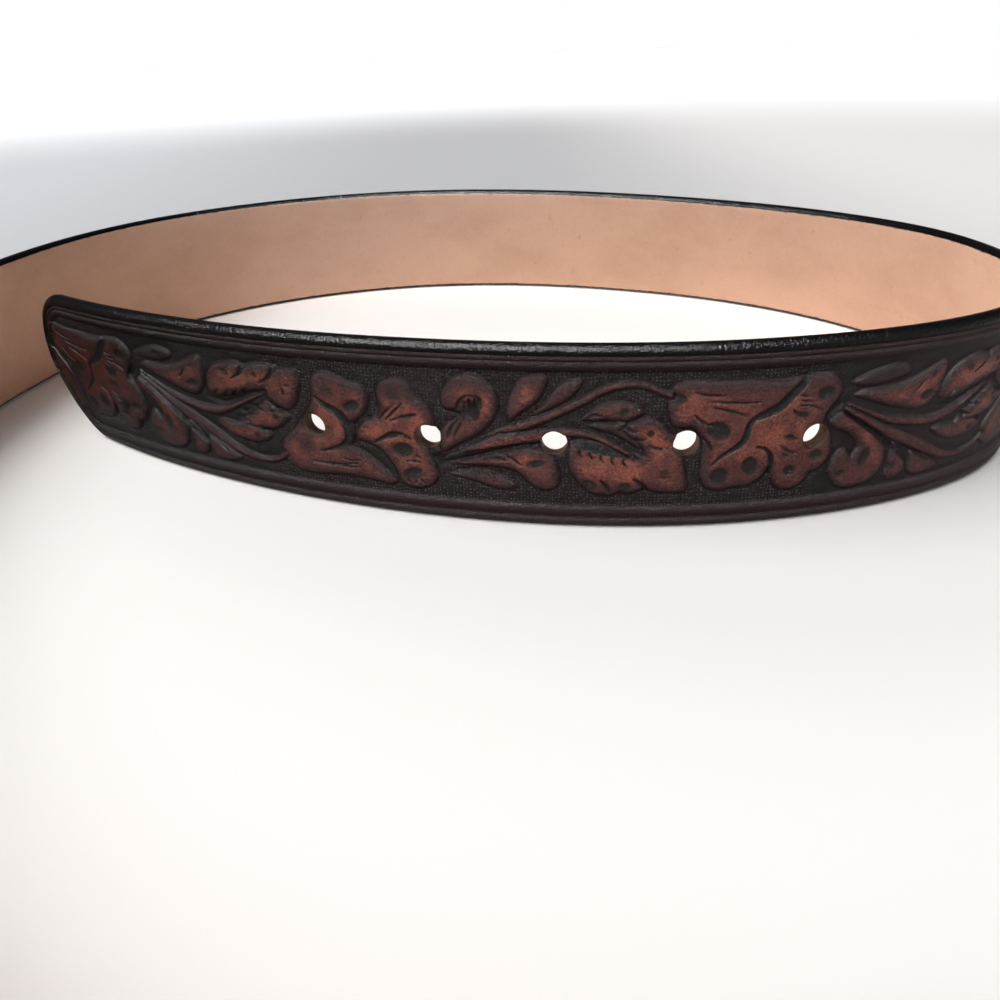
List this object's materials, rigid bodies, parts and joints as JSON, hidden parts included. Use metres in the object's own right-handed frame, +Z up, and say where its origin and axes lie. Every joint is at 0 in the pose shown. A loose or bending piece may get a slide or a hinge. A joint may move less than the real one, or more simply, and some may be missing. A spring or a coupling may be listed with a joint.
{
  "type": "carved leather belt",
  "caption": "Wide leather belt with carved leaf and flower scrolls, a rounded tip with punched holes, and a plain buckle, standing on edge in an open loop.",
  "frame": {"origin": "on the surface that the belt stands on, under the middle of its outline seen from above", "axes": "+X to the right along the front of the loop, +Y to the back of the loop, +Z up; the tip is at the front left and the carved face looks outwards"},
  "size_m": [0.2814, 0.3252, 0.0467],
  "materials": {
    "carved_leather": "mahogany antiqued carving on a black matted ground, satin",
    "edge_leather": "dark brown to black, satin",
    "buckle_metal": "satin"
  },
  "bodies": {
    "root": {"strap": "carved_leather", "keeper_loop": "edge_leather", "buckle": "buckle_metal", "fold_post_a": "buckle_metal", "fold_post_b": "buckle_metal"}
  },
  "joints": []
}
